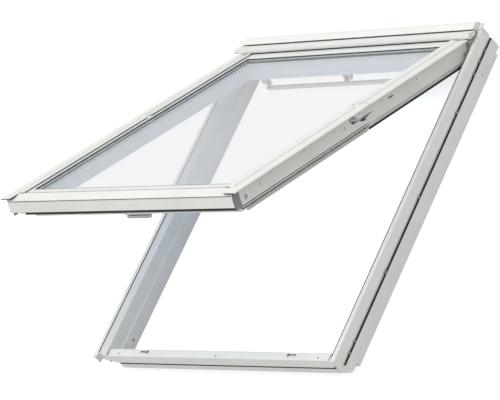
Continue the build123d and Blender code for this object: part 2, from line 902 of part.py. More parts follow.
# Side covers of the leaf: the section is the same for the lower, pivot and upper lengths
def cover_section():
    """Outline of the side cover across the leaf, drawn on the right."""
    return [
        (cover_edge - sheet, -arm_top),
        (cover_edge, -arm_top),
        (cover_edge, -1.0),
        (cover_edge - 1.0, 0),
        (cover_crease, 0.4),
        (cover_ridge, cover_ridge_height),
        (cover_ridge - 1.6, cover_ridge_height - 0.4),
        (cover_ridge - 2.2, -0.6),
        (cover_inner, -4.9),
        (cover_inner, -6.3),
        (cover_ridge - 1.2, -6.3),
        (cover_ridge - 0.7, cover_ridge_height - 1.8),
        (cover_ridge + 0.6, cover_ridge_height - sheet),
        (cover_crease, 0.4 - sheet),
        (cover_edge - sheet, -sheet),
    ]


joint_peak_x = arm_outer - 1.5
joint_line = [
    (cover_inner - 5, pivot_s + joint_inner_above),
    (joint_peak_x, pivot_s + joint_peak_above),
    (cover_edge + 5, pivot_s + joint_outer_above - 4),
]
dip_length = 30.0
dip_rise = 3.7
clip_top = 0.5
clip_width = 4.0
rib_top = 0.8
upper_rib_start = pivot_s + joint_peak_above + 8
lower_cover_end = pivot_s - seam / 2
pivot_cap_start = pivot_s + seam / 2
support_width = arm_thickness - 1


def cover_piece(plan):
    """Cover sheet within a plan, drawn on the right."""
    plan_low = min(point[1] for point in plan)
    plan_high = max(point[1] for point in plan)
    with BuildPart() as piece:
        with BuildSketch(across(plan_low)):
            with BuildLine():
                Polyline(*cover_section(), close=True)
            make_face()
        extrude(amount=plan_low - plan_high)
        with BuildSketch(over(-20)):
            with BuildLine():
                Polyline(*plan, close=True)
            make_face()
        extrude(amount=30, mode=Mode.INTERSECT)
    return piece.part


def pivot_dip(side):
    """Wedge over the ridge on one side of the pivot, which lets the sash turn past the arm."""
    with BuildPart() as wedge:
        with BuildSketch(along(cover_inner - 5)):
            with BuildLine():
                Polyline(
                    (pivot_s, 0),
                    (pivot_s + side * dip_length, dip_rise),
                    (pivot_s + side * dip_length, 3 * dip_rise),
                    (pivot_s - side, 3 * dip_rise),
                    (pivot_s - side, 0),
                    close=True,
                )
            make_face()
        extrude(amount=cover_edge + 10 - cover_inner)
    return wedge.part


def ridge_floor(s_low, s_high):
    """Floor that closes the hollow ridge from s_low to s_high."""
    with BuildPart() as floor:
        with BuildSketch(across(s_low)):
            with Locations(((cover_ridge - 2 + cover_crease) / 2, -1.1)):
                Rectangle(cover_crease - cover_ridge + 2, 1.4)
        extrude(amount=s_low - s_high)
    return floor.part


lower_plan = [
    (strip_inner, leaf_start),
    (cover_edge + 5, leaf_start),
    (cover_edge + 5, lower_cover_end),
    (cover_inner - 5, lower_cover_end),
    (cover_inner - 5, bottom_cover_ridge + seam),
    (strip_inner, bottom_cover_ridge + seam),
]
lower_cover = cover_piece(lower_plan) - pivot_dip(-1) + ridge_floor(pivot_s - dip_length, lower_cover_end)
pivot_plan = [(cover_inner - 5, pivot_cap_start), (cover_edge + 5, pivot_cap_start)] + joint_line[::-1]
upper_line = [(x, s + joint_gap) for x, s in joint_line]
upper_plan = upper_line + [(cover_edge + 5, casing_start - 2), (cover_inner - 5, casing_start - 2)]
with BuildPart() as lower_clip:
    with BuildSketch(across(bottom_rail_end)):
        with Locations((rail_outer - clip_width / 2, -(rail_top + clip_top) / 2)):
            Rectangle(clip_width, rail_top - clip_top)
    extrude(amount=bottom_rail_end - pivot_s + track_plate_radius + 10)
with BuildPart() as cap_rib:
    with BuildSketch(across(pivot_s + 6)):
        with Locations(((arm_inner + arm_outer) / 2, -(arm_top + rib_top) / 2)):
            Rectangle(support_width, arm_top - rib_top)
    extrude(amount=-6)
with BuildPart() as upper_rib:
    with BuildSketch(across(upper_rib_start)):
        with Locations(((arm_inner + arm_outer) / 2, -(arm_top + rib_top) / 2)):
            Rectangle(support_width, arm_top - rib_top)
    extrude(amount=upper_rib_start - casing_start + 2)
save_pair(lower_cover + lower_clip.part, "lower_cover")
pivot_cap = cover_piece(pivot_plan) - pivot_dip(1) + ridge_floor(pivot_cap_start, pivot_s + 18)
save_both(pivot_cap + cap_rib.part, "pivot_caps")
save_pair(cover_piece(upper_plan) - pivot_dip(1) + upper_rib.part, "upper_cover")

# Cover over the bottom rail: a folded front with a sloped top, cut narrower under the side covers
face_low = 10.0 + bottom_cover_face
tuck_start = 26.0
with BuildPart() as bottom_cover:
    with BuildSketch(along(-bottom_cover_half)):
        with BuildLine():
            Polyline(
                (6.0, -face_low),
                (6.2, -17.5),
                (8.0, -17.0),
                (8.0, -11.6),
                (5.2, -10.9),
                (4.9, -9.4),
                (7.0, -8.0),
                (bottom_cover_ridge - 1.5, -0.6),
                (bottom_cover_ridge - 0.8, 0.4),
                (bottom_cover_ridge + 2, 0.4),
                (bottom_cover_end, -6.0),
                (bottom_cover_end, -7.5),
                (bottom_cover_ridge + 1.8, -1.1),
                (bottom_cover_ridge - 1, -1.9),
                (9.4, -8.9),
                (9.4, -18.2),
                (7.5, -18.6),
                (7.5, -face_low),
                close=True,
            )
        make_face()
    extrude(amount=2 * bottom_cover_half)
    with BuildSketch(over(-20)):
        for side in (-1, 1):
            with BuildLine():
                Polyline(
                    (side * (bottom_cover_half + 1), tuck_start),
                    (side * (strip_inner - seam), tuck_start),
                    (side * (strip_inner - seam), bottom_cover_ridge),
                    (side * (cover_inner - seam), bottom_cover_ridge),
                    (side * (cover_inner - seam), bottom_cover_end + 1),
                    (side * (bottom_cover_half + 1), bottom_cover_end + 1),
                    close=True,
                )
            make_face()
    extrude(amount=30, mode=Mode.SUBTRACT)
save(bottom_cover.part, "bottom_cover")

# Sash rails: rebated for the glass, tapered underneath at the sides
glass_wall = glass_half + glass_gap
rail_shelf = rail_top + 2.8
with BuildPart() as side_rail:
    with BuildSketch(across(bottom_rail_end)):
        with BuildLine():
            Polyline(
                (glass_wall, -rail_shelf),
                (cover_fall, -rail_shelf),
                (cover_fall, -rail_top),
                (rail_outer, -rail_top),
                (rail_outer, -rail_taper_start),
                (rail_outer - rail_taper_width, -rail_depth),
                (rail_inner, -rail_depth),
                (rail_inner, -rebate_floor),
                (glass_wall, -rebate_floor),
                close=True,
            )
        make_face()
    extrude(amount=bottom_rail_end - top_rail_start)
    with BuildSketch(along(rail_outer)):
        with Locations((pivot_s, 0)):
            Circle(track_plate_radius + pivot_clearance)
    extrude(amount=-track_plate_thickness - carrier_thickness, mode=Mode.SUBTRACT)
save_pair(side_rail.part, "sash_rail")

rod_width = 8.0
rod_height = 4.0
rod_end = tongue_x + 12.0
handle_s = 74.0
handle_offset = 39.0
spindle_radius = 3.5
with BuildPart() as bottom_rail:
    with BuildSketch(along(-rail_outer)):
        with BuildLine():
            Polyline(
                (bottom_rail_start, -rail_top - 5),
                (bottom_glass_edge - glass_gap, -rail_shelf),
                (bottom_glass_edge - glass_gap, -rebate_floor),
                (bottom_rail_end, -rebate_floor),
                (bottom_rail_end, -rail_depth),
                (bottom_rail_inner_step, -rail_depth),
                (bottom_rail_inner_step, -rail_taper_start),
                (bottom_step, -rail_taper_start),
                (bottom_step, -bottom_lip_depth),
                (bottom_rail_start, -bottom_lip_depth),
                close=True,
            )
        make_face()
    extrude(amount=2 * rail_outer)
    for side in (-1, 1):
        with BuildSketch(across(0)):
            with BuildLine():
                Polyline(
                    (side * (rail_outer + 1), -rail_taper_start),
                    (side * rail_outer, -rail_taper_start),
                    (side * (rail_outer - rail_taper_width), -rail_depth),
                    (side * (rail_outer - rail_taper_width), -rail_depth - 1),
                    (side * (rail_outer + 1), -rail_depth - 1),
                    close=True,
                )
            make_face()
        extrude(amount=-bottom_rail_end - 1, mode=Mode.SUBTRACT)
    with BuildSketch(over(-bottom_lip_depth)):
        with Locations((0, tongue_s)):
            Rectangle(2 * rod_end + 2 * tongue_travel + 4, rod_width + 1)
    extrude(amount=rod_height + 1, mode=Mode.SUBTRACT)
    with BuildSketch(over(-rail_depth)):
        with Locations((-handle_offset, handle_s)):
            Circle(spindle_radius + 0.4)
    extrude(amount=8, mode=Mode.SUBTRACT)
save(bottom_rail.part, "sash_rail_bottom")

bolt_length = 60.0
bolt_travel = 14.0
bolt_tip = rail_outer - 1
pin_x = bolt_length - bolt_tip - 12
with BuildPart() as top_rail:
    with BuildSketch(along(-rail_outer)):
        with BuildLine():
            Polyline(
                (top_rail_start, -rail_depth),
                (top_rail_start, -rebate_floor),
                (top_glass_edge + glass_gap, -rebate_floor),
                (top_glass_edge + glass_gap, -rail_top),
                (top_rail_end, -rail_top),
                (top_rail_end, -rail_taper_start),
                (top_rail_end - top_rail_taper, -rail_taper_start - 10),
                (top_rail_end - top_rail_taper, -rail_depth),
                close=True,
            )
        make_face()
    extrude(amount=2 * rail_outer)
    with BuildSketch(along(-rail_inner)):
        with BuildLine():
            Polyline(
                (top_rail_start - 1, -rebate_floor),
                (top_rail_start, -rebate_floor),
                (top_rail_start + top_rail_draft, top_rail_lip_depth - rail_depth),
                (top_rail_start - 1, top_rail_lip_depth - rail_depth),
                close=True,
            )
        make_face()
    extrude(amount=2 * rail_inner, mode=Mode.SUBTRACT)
    with BuildSketch(along(-rail_inner)):
        with BuildLine():
            Polyline(
                (top_rail_start + 1, -rail_depth),
                (top_rail_start + top_rail_draft - top_rail_lip, -rail_depth),
                (top_rail_start + top_rail_draft - top_rail_lip, top_rail_lip_depth - rail_depth),
                (top_rail_start + 1, top_rail_lip_depth - rail_depth),
                close=True,
            )
        make_face()
    extrude(amount=2 * rail_inner)
    for side in (-1, 1):
        with BuildSketch(across(top_rail_start - 1)):
            with BuildLine():
                Polyline(
                    (side * (rail_outer + 1), -rail_taper_start),
                    (side * rail_outer, -rail_taper_start),
                    (side * (rail_outer - rail_taper_width), -rail_depth),
                    (side * (rail_outer - rail_taper_width), -rail_depth - 1),
                    (side * (rail_outer + 1), -rail_depth - 1),
                    close=True,
                )
            make_face()
        extrude(amount=top_rail_start - top_rail_end - 2, mode=Mode.SUBTRACT)
    for side in (-1, 1):
        with BuildSketch(across(top_glass_edge + 2)):
            with Locations((side * (cover_inner + cover_fall) / 2, -rail_shelf + 2)):
                Rectangle(cover_fall - cover_inner + 3, 4)
        extrude(amount=top_glass_edge + 2 - casing_start + 1, mode=Mode.SUBTRACT)
    with BuildSketch(along(-rail_outer - 1)):
        with Locations((bolt_s, -bolt_n)):
            Circle(bolt_radius + 0.3)
    extrude(amount=bolt_length + 6, mode=Mode.SUBTRACT)
    with BuildSketch(across(bolt_s)):
        with Locations((pin_x - bolt_travel / 2, -bolt_n)):
            Rectangle(bolt_travel + 4, 3.6)
    extrude(amount=bolt_s - top_rail_end - 1, mode=Mode.SUBTRACT)
save(top_rail.part, "sash_rail_top")

# Insulating glass: one sealed unit
with BuildPart() as glass:
    with BuildSketch(over(-glass_bottom)):
        with Locations((0, (bottom_glass_edge + top_glass_edge) / 2)):
            Rectangle(2 * glass_half, top_glass_edge - bottom_glass_edge)
    extrude(amount=glass_thickness)
save(glass.part, "glass_unit")

# Seat strips under the glass and the black seal above it
seal_top = 6.5


def glass_ring(n_low, n_high, outer, inner):
    """Strip round the glass between two heights. outer and inner hold the half width and both ends."""
    with BuildPart() as ring:
        with BuildSketch(over(n_low)):
            with Locations((0, (outer[1] + outer[2]) / 2)):
                Rectangle(2 * outer[0], outer[2] - outer[1])
            with Locations((0, (inner[1] + inner[2]) / 2)):
                Rectangle(2 * inner[0], inner[2] - inner[1], mode=Mode.SUBTRACT)
        extrude(amount=n_high - n_low)
    return ring.part


seat_step = 0.6
seal_show = 3.0
cap_start = top_glass_edge - 9.5
seat_outer = (glass_half, bottom_glass_edge, top_glass_edge)
seat_inner = (rail_inner + seat_step, bottom_rail_end - seat_step, top_rail_start + seat_step)
seal_outer = (glass_half, bottom_cover_end, top_glass_edge)
seal_inner = (cover_inner - seal_show, bottom_cover_end + seal_show, cap_start - seal_show)
save(glass_ring(-rebate_floor, -glass_bottom, seat_outer, seat_inner), "glass_seat")
save(glass_ring(-glass_top, -seal_top, seal_outer, seal_inner), "glazing_seal")

# Cap over the top edge of the glass
cap_end = top_rail_end + 2
with BuildPart() as glazing_cap:
    with BuildSketch(along(-cover_inner + seam)):
        with BuildLine():
            Polyline(
                (cap_start, -seal_top),
                (cap_start + 1, -4.6),
                (cap_start + 7, -4.0),
                (cap_start + 9, -2.6),
                (cap_start + 24, -1.5),
                (cap_end, -1.5),
                (cap_end, -rail_top),
                (top_glass_edge + glass_gap + 1, -rail_top),
                (top_glass_edge + glass_gap + 1, -4.4),
                (cap_start + 7, -5.4),
                (cap_start + 3, -seal_top),
                close=True,
            )
        make_face()
    extrude(amount=2 * (cover_inner - seam))
save(glazing_cap.part, "glazing_cap")

# Side filler under the lower covers: a thin channel with a ledge and ribs
filler_start = 40.0
filler_foot_start = bottom_inner - closed_y + 1.5
filler_end = pivot_s + 7.0
filler_wall = 2.5
filler_face_low = 54.0
filler_ledge_top = 56.5
filler_ledge_low = 60.5
filler_seal_low = 63.3
filler_foot_low = 77.0
filler_foot_x = inner_x - 0.5
plug_radius = 7.0
plug_place = (61.5, -37.0)
filler_web_n = 46.0
filler_clear = arm_inner + 1
pocket_edge = pivot_s - 64.0
pocket_low = 34.0
nose_reach = sqrt((pivot_s - arm_start - arm_nose_radius) ** 2 + (arm_bottom - arm_nose_radius) ** 2)
nose_clearance = nose_reach + arm_nose_radius + pivot_clearance
with BuildPart() as filler:
    with BuildSketch(across(filler_start)):
        with BuildLine():
            Polyline(
                (rail_outer, -arm_top),
                (arm_outer - 0.5, -arm_top),
                (arm_outer - 0.5, -filler_face_low),
                (arm_outer - 3.5, -filler_face_low),
                (arm_outer - 3.5, -filler_ledge_top),
                (arm_outer - 0.5, -filler_ledge_top),
                (arm_outer - 0.5, -filler_ledge_low),
                (filler_clear, -filler_ledge_low),
                (filler_clear, -filler_face_low + filler_wall),
                (arm_outer - 3, -filler_face_low + filler_wall),
                (arm_outer - 3, -arm_top - filler_wall),
                (rail_outer, -arm_top - filler_wall),
                close=True,
            )
        make_face()
        with Locations(((rail_outer + arm_outer - 1) / 2, -filler_web_n)):
            Rectangle(arm_outer - 1 - rail_outer, filler_wall)
    extrude(amount=filler_start - filler_end)
    with BuildSketch(across(filler_foot_start)):
        with BuildLine():
            Polyline(
                (filler_clear - 1, -filler_ledge_low + 1),
                (filler_clear + 1, -filler_ledge_low + 1),
                (filler_clear + 1, -filler_seal_low - 0.7),
                (filler_foot_x, -filler_seal_low - 0.7),
                (filler_foot_x, -filler_seal_low - 3.7),
                (filler_clear + 1, -filler_seal_low - 3.7),
                (filler_clear + 1, -filler_seal_low - 6.2),
                (filler_foot_x, -filler_seal_low - 6.2),
                (filler_foot_x, -filler_seal_low - 9.2),
                (filler_clear + 1, -filler_seal_low - 9.2),
                (filler_clear + 1, -filler_foot_low + 2),
                (filler_foot_x, -filler_foot_low + 2),
                (filler_foot_x, -filler_foot_low),
                (filler_clear - 1, -filler_foot_low),
                close=True,
            )
        make_face()
    extrude(amount=filler_foot_start - filler_end)
    with BuildSketch(along(rail_outer - 1)):
        with Locations((pivot_s, 0)):
            Circle(nose_clearance)
        with BuildLine():
            Polyline(
                (pocket_edge, 0),
                (filler_end + 1, 0),
                (filler_end + 1, -pocket_low),
                (pocket_edge + 12, -pocket_low),
                (pocket_edge + 4, -pocket_low + 4),
                (pocket_edge, -pocket_low + 12),
                close=True,
            )
        make_face()
    extrude(amount=20, mode=Mode.SUBTRACT)
    with BuildSketch(along(rail_outer - 1)):
        with Locations((pivot_s, 0)):
            Circle(track_plate_radius + pivot_clearance)
    extrude(amount=filler_clear + 1 - rail_outer, mode=Mode.SUBTRACT)
    with BuildSketch(along(arm_outer)):
        with Locations(plug_place):
            Circle(plug_radius)
    extrude(amount=-filler_wall - 2, mode=Mode.SUBTRACT)
save_pair(filler.part, "side_filler")

# Seal under the ledge of the filler
with BuildPart() as sash_seal:
    with BuildSketch(across(filler_start)):
        with BuildLine():
            Polyline(
                (filler_clear + 1, -filler_ledge_low),
                (arm_outer - 1.2, -filler_ledge_low),
                (arm_outer - 1.8, -filler_seal_low),
                (filler_clear + 1, -filler_seal_low),
                close=True,
            )
        make_face()
    extrude(amount=filler_start - filler_end)
save_both(sash_seal.part, "sash_seals")

# Screws and plugs of the filler
with BuildPart() as sash_screws:
    with BuildSketch(along(arm_outer - 0.5)):
        with Locations((127, -28), (328, -16), (pivot_s - 92, -30)):
            Circle(3.2)
            RegularPolygon(1.4, 6, mode=Mode.SUBTRACT)
    extrude(amount=0.7)
    with BuildSketch(along(arm_outer - 3.2)):
        with Locations(plug_place):
            Circle(plug_radius)
            SlotOverall(plug_radius + 2, 2.4, mode=Mode.SUBTRACT)
    extrude(amount=2.3)
save_both(sash_screws.part, "sash_screws")

# Corner blocks behind the ends of the bottom cover, each with a guide pin
block_outer = rebate_x - 3.5
block_start = 13.0
block_low = 58.0
with BuildPart() as corner_block:
    with BuildSketch(along(inner_x + 0.6)):
        with BuildLine():
            Polyline(
                (block_start, -12),
                (filler_start - 0.5, -12),
                (filler_start - 0.5, -block_low),
                (block_start, -block_low),
                close=True,
            )
        make_face()
    extrude(amount=block_outer - inner_x - 0.6)
    with BuildSketch(along(rail_outer)):
        with Locations((block_start + 12, -15)):
            Rectangle(20, 4)
    extrude(amount=inner_x + 1 - rail_outer)
    with BuildSketch(along(block_outer)):
        with Locations((block_start + 14, -21)):
            SlotOverall(20, 4)
    extrude(amount=1.2)
save_both(corner_block.part, "sash_corner_blocks")

# Seal under the front of the bottom cover
with BuildPart() as front_seal:
    with BuildSketch(along(-bottom_cover_half + 1)):
        with BuildLine():
            Polyline(
                (7.5, -face_low + 3),
                (9.6, -face_low + 3),
                (9.6, -face_low - 7),
                (6.5, -face_low - 7),
                (6.0, -face_low),
                (7.5, -face_low),
                close=True,
            )
        make_face()
    extrude(amount=2 * (bottom_cover_half - 1))
save(front_seal.part, "front_seal")

# Half-round track on the arm
track_x = arm_inner - track_plate_thickness
plate_cut = 2.5
with BuildPart() as track:
    with BuildSketch(along(track_x)):
        with Locations((pivot_s, 0)):
            Circle(track_plate_radius)
        with Locations((pivot_s, track_plate_radius - plate_cut)):
            Rectangle(2 * track_plate_radius + 2, 2 * track_plate_radius, mode=Mode.SUBTRACT)
    extrude(amount=track_plate_thickness)
    with BuildSketch(along(track_x)):
        with Locations((pivot_s, 0)):
            Circle(track_radius + track_width / 2)
            Circle(track_radius - track_width / 2, mode=Mode.SUBTRACT)
    extrude(amount=track_depth, mode=Mode.SUBTRACT)
    with BuildSketch(along(track_x)):
        with Locations((pivot_s, -20)):
            SlotOverall(34, 12)
    extrude(amount=4, mode=Mode.SUBTRACT)
save_pair(track.part, "pivot_track")

# Curved shoe on a carrier plate in the rail
carrier_x = track_x - carrier_thickness
shoe_low = 360 - shoe_start - shoe_span
shoe_half = track_width / 2 - 0.5
with BuildPart() as shoe:
    with BuildSketch(along(carrier_x)):
        with Locations((pivot_s, 0)):
            Circle(track_plate_radius)
        with Locations((pivot_s, track_plate_radius - plate_cut - 0.5)):
            Rectangle(2 * track_plate_radius + 2, 2 * track_plate_radius, mode=Mode.SUBTRACT)
    extrude(amount=carrier_thickness - shoe_clearance)
    with BuildSketch(along(carrier_x + carrier_thickness - shoe_clearance)):
        with BuildLine():
            outer_arc = CenterArc((pivot_s, 0), track_radius + shoe_half, shoe_low, shoe_span)
            inner_arc = CenterArc((pivot_s, 0), track_radius - shoe_half, shoe_low, shoe_span)
            Line(outer_arc @ 0, inner_arc @ 0)
            Line(outer_arc @ 1, inner_arc @ 1)
        make_face()
    extrude(amount=track_depth - 0.3)
save_both(shoe.part, "pivot_shoes")

# Barrel bolt in the upper left corner of the sash, with a finger pin in its slot
with BuildPart() as barrel_bolt:
    with BuildSketch(along(-bolt_tip)):
        with Locations((bolt_s, -bolt_n)):
            Circle(bolt_radius)
    extrude(amount=bolt_length)
    chamfer(barrel_bolt.faces().sort_by(Axis.X)[0].edges(), 1.2)
    with BuildSketch(across(bolt_s)):
        with Locations((pin_x, -bolt_n)):
            Circle(1.5)
    extrude(amount=bolt_s - top_rail_end - 2.5)
save(barrel_bolt.part, "barrel_bolt")

# Handle plate under the bottom rail
case_thick = 3.0
case_width = 20.0
case_length = 104.0
handle_gap = 0.4
with BuildPart() as handle_plate:
    with BuildSketch(over(-rail_depth - case_thick)):
        with Locations((0, handle_s + 2)):
            RectangleRounded(case_length, case_width, 4)
        with Locations((-handle_offset, handle_s)):
            Circle(spindle_radius + 0.4, mode=Mode.SUBTRACT)
    extrude(amount=case_thick)
save(handle_plate.part, "handle_plate")

# Turn handle: a rounded grip on a boss and spindle
grip_length = 92.0
grip_width = 14.0
grip_depth = 9.0
boss_depth = 3.0
boss_n = -rail_depth - case_thick - handle_gap
with BuildPart() as handle:
    with BuildSketch(over(boss_n - boss_depth)):
        with Locations((-handle_offset, handle_s)):
            Circle(grip_width / 2)
    extrude(amount=boss_depth)
    with BuildSketch(over(boss_n - boss_depth)):
        with Locations((grip_length / 2 - handle_offset - grip_width / 2, handle_s)):
            SlotOverall(grip_length, grip_width)
    extrude(amount=-grip_depth)
    fillet(handle.faces().sort_by(Axis(tuple(leaf_origin), tuple(leaf_out)))[0].edges(), 2)
    with BuildSketch(over(boss_n)):
        with Locations((-handle_offset, handle_s)):
            Circle(spindle_radius)
    extrude(amount=case_thick + 6)
save(handle.part, "handle")


# Lock rods in the groove of the bottom rail, each with a mushroom tongue
def lock_rod(side):
    """Rod and tongue on one side, with the tongue over the round end of its striker slot."""
    with BuildPart() as piece:
        with BuildSketch(over(-bottom_lip_depth + 0.3)):
            with Locations((side * (rod_end + rod_start) / 2, tongue_s)):
                Rectangle(rod_end - rod_start, rod_width)
        extrude(amount=rod_height)
        with BuildSketch(over(-bottom_lip_depth + 1)):
            with Locations((side * tongue_x, tongue_s)):
                Circle(tongue_shank)
        extrude(amount=-shank_length - 1)
        with BuildSketch(over(-bottom_lip_depth - shank_length)):
            with Locations((side * tongue_x, tongue_s)):
                Circle(tongue_head)
        extrude(amount=-2.4)
    return piece.part


rod_start = 24.0
shank_length = 7.2
save(lock_rod(-1), "lock_rod_left")
save(lock_rod(1), "lock_rod_right")

# Brackets of the control bar under the top rail
bar_axis_s = frame_height - 120.0
bar_axis_n = 99.0
bar_half = rail_outer - 104.0
stub_radius = 2.5
bracket_width = 20.0
ear_width = 5.5
middle_half = 8.0
bracket_places = [
    (-bar_half - 2 - bracket_width, bracket_width),
    (bar_half + 2, bracket_width),
    (-middle_half - ear_width, ear_width),
    (middle_half, ear_width),
]
with BuildPart() as bar_brackets:
    for bracket_x, width in bracket_places:
        with BuildSketch(along(bracket_x)):
            with BuildLine():
                Polyline(
                    (bar_axis_s - 11, -rail_depth),
                    (bar_axis_s + 11, -rail_depth),
                    (bar_axis_s + 6, -bar_axis_n - 3),
                    (bar_axis_s - 6, -bar_axis_n - 3),
                    close=True,
                )
            make_face()
            with Locations((bar_axis_s, -bar_axis_n)):
                Circle(6)
                Circle(stub_radius + 0.3, mode=Mode.SUBTRACT)
        extrude(amount=width)
save(bar_brackets.part, "bar_brackets")

# Control bar: a tube on three arms, hinged in the brackets
bar_drop = 14.0
bar_radius = 7.0
bar_arm = 9.0
with BuildPart() as control_bar:
    with BuildSketch(along(-bar_half)):
        with Locations((bar_axis_s - bar_drop, -bar_axis_n - bar_drop)):
            Circle(bar_radius)
    extrude(amount=2 * bar_half)
    middle_arm = (1 - middle_half, 2 * middle_half - 2)
    for arm_x, width in ((-bar_half, bar_arm), (bar_half - bar_arm, bar_arm), middle_arm):
        with BuildSketch(along(arm_x)):
            with BuildLine():
                Polyline(
                    (bar_axis_s - 3, -bar_axis_n + 3),
                    (bar_axis_s + 3, -bar_axis_n - 3),
                    (bar_axis_s - bar_drop + 3, -bar_axis_n - bar_drop - 3),
                    (bar_axis_s - bar_drop - 3, -bar_axis_n - bar_drop + 3),
                    close=True,
                )
            make_face()
            with Locations((bar_axis_s, -bar_axis_n)):
                Circle(4.2)
        extrude(amount=width)
    for stub_x, length in ((-bar_half - 14, 16), (bar_half - 2, 16), (-middle_half - 4, 2 * middle_half + 8)):
        with BuildSketch(along(stub_x)):
            with Locations((bar_axis_s, -bar_axis_n)):
                Circle(stub_radius)
        extrude(amount=length)
save(control_bar.part, "control_bar")
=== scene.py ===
import bmesh
import bpy
import json
from math import cos, radians, sin
from mathutils import Matrix, Vector


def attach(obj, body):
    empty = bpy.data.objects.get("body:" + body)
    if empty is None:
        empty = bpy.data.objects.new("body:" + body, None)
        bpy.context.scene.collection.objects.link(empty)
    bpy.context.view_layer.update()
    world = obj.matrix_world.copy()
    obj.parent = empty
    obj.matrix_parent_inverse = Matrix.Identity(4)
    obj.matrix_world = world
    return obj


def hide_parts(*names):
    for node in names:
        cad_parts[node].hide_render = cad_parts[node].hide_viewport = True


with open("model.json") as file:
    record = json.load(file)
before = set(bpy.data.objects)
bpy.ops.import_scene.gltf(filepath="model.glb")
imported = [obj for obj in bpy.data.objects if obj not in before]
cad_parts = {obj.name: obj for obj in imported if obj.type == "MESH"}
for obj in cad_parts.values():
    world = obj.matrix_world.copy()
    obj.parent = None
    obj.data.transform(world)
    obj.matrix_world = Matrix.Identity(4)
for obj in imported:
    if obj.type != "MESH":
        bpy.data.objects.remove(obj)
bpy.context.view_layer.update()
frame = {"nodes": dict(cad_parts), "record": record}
nodes = frame["nodes"]
mm = 0.001

# The leaf's own axes: s runs up the leaf from its lower edge, n stands out of its outer face
open_turn = radians(30.34)
leaf_up = Vector((0, cos(open_turn), -sin(open_turn)))
leaf_out = Vector((0, sin(open_turn), cos(open_turn)))
hinge = Vector((0, 541.0, 112.0))
hinge_s, hinge_n = 1127.4, 4.4
leaf_origin = hinge - leaf_up * hinge_s - leaf_out * hinge_n

# Centre pivot, and how far a piece near it may stand out of the leaf as a share of its distance from the pivot
pivot_s = 602.0
pivot_slope = 0.13

# Start and end of the added strips along the leaf in millimetres, clear of the pivot
lower_shade_run = (44.0, 594.0)
upper_shade_run = (610.0, 1096.0)
filler_run = (41.0, 600.0)
skirt_run = (655.0, 1095.0)
slot_run = (720.5, 741.5)


def leaf(x, s, n):
    """Point of the leaf in metres, from x, s and n in millimetres."""
    return (leaf_origin + leaf_up * s + leaf_out * n + Vector((x, 0, 0))) * mm


def linear(hex_code):
    """sRGB hex to linear red, green, blue and alpha."""
    parts = [int(hex_code[i:i + 2], 16) / 255 for i in (1, 3, 5)]
    return [c / 12.92 if c <= 0.04045 else ((c + 0.055) / 1.055) ** 2.4 for c in parts] + [1.0]


def add(tree, kind, settings=None, **inputs):
    """Adds a node. settings are its properties, and inputs are values or links for its sockets.

    An input is named with _ for a space, or as _0, _1 and so on for the socket's number.
    """
    node = tree.nodes.new(kind)
    for key, value in (settings or {}).items():
        setattr(node, key, value)
    for key, value in inputs.items():
        socket = node.inputs[int(key[1:])] if key[1:].isdigit() else node.inputs[key.replace("_", " ")]
        if isinstance(value, bpy.types.NodeSocket):
            tree.links.new(value, socket)
        else:
            socket.default_value = value
    return node


def any_ray(tree, *kinds):
    """Socket that is 1 for a ray of any of the kinds, such as "Is Camera Ray", and else 0."""
    path = add(tree, "ShaderNodeLightPath")
    found = path.outputs[kinds[0]]
    for kind in kinds[1:]:
        either = add(tree, "ShaderNodeMath", {"operation": "MAXIMUM"}, _0=found, _1=path.outputs[kind])
        found = either.outputs[0]
    return found


def new_material(name):
    """An empty material, its tree and its output node."""
    material = bpy.data.materials.new(name)
    material.use_nodes = True
    tree = material.node_tree
    tree.nodes.clear()
    return material, tree, add(tree, "ShaderNodeOutputMaterial")


def coated(name, colour, shade, roughness, grain_mm, depth_mm, patch_mm=90.0, stretch=(1, 1, 1), **sockets):
    """Opaque finish: a colour that drifts to shade over patches, and a fine grain as bump and roughness."""
    material, tree, out = new_material(name)
    place = add(tree, "ShaderNodeTexCoord")
    scaled = add(tree, "ShaderNodeMapping", Vector=place.outputs["Object"], Scale=stretch)
    patches = add(tree, "ShaderNodeTexNoise", Vector=scaled.outputs[0], Scale=1000 / patch_mm, Detail=3.0)
    drift = add(tree, "ShaderNodeMapRange", Value=patches.outputs["Fac"], From_Min=0.35, From_Max=0.7)
    tint = add(tree, "ShaderNodeMix", {"data_type": "RGBA"}, _0=drift.outputs[0],
               _6=linear(colour), _7=linear(shade))
    grain = add(tree, "ShaderNodeTexNoise", Vector=scaled.outputs[0], Scale=1000 / grain_mm, Detail=2.0)
    rough = add(tree, "ShaderNodeMapRange", Value=grain.outputs["Fac"],
                To_Min=roughness - 0.05, To_Max=roughness + 0.07)
    bump = add(tree, "ShaderNodeBump", Height=grain.outputs["Fac"], Distance=depth_mm * mm, Strength=1.0)
    body = add(tree, "ShaderNodeBsdfPrincipled", Base_Color=tint.outputs[2], Roughness=rough.outputs[0],
               Normal=bump.outputs[0], **sockets)
    tree.links.new(body.outputs[0], out.inputs[0])
    return material


# Polyurethane skin moulded over timber and lacquered: satin, with the soft orange peel of a mould and spray gun
moulded_skin = coated("lacquered_polyurethane", "#E4E4E1", "#DEDFDB", 0.42, 1.6, 0.03, IOR=1.49)
# Roll-formed aluminium with a polyester powder coat: warmer, glossier and with a finer orange peel
powder_coat = coated("powder_coated_aluminium", "#E8E9E4", "#E3E4DF", 0.36, 1.1, 0.02, IOR=1.5)
# The same coat on the leaf's covers, made slightly greyer as painted shade
shaded_cover_coat = coated("powder_coat_painted_shade", "#DFE0DB", "#D9DAD5", 0.38, 1.1, 0.02, IOR=1.5)
# Injection-moulded ABS: spark-eroded grain
moulded_abs = coated("moulded_abs", "#E0E0DB", "#D9DAD5", 0.5, 0.7, 0.02, patch_mm=40.0, IOR=1.53)
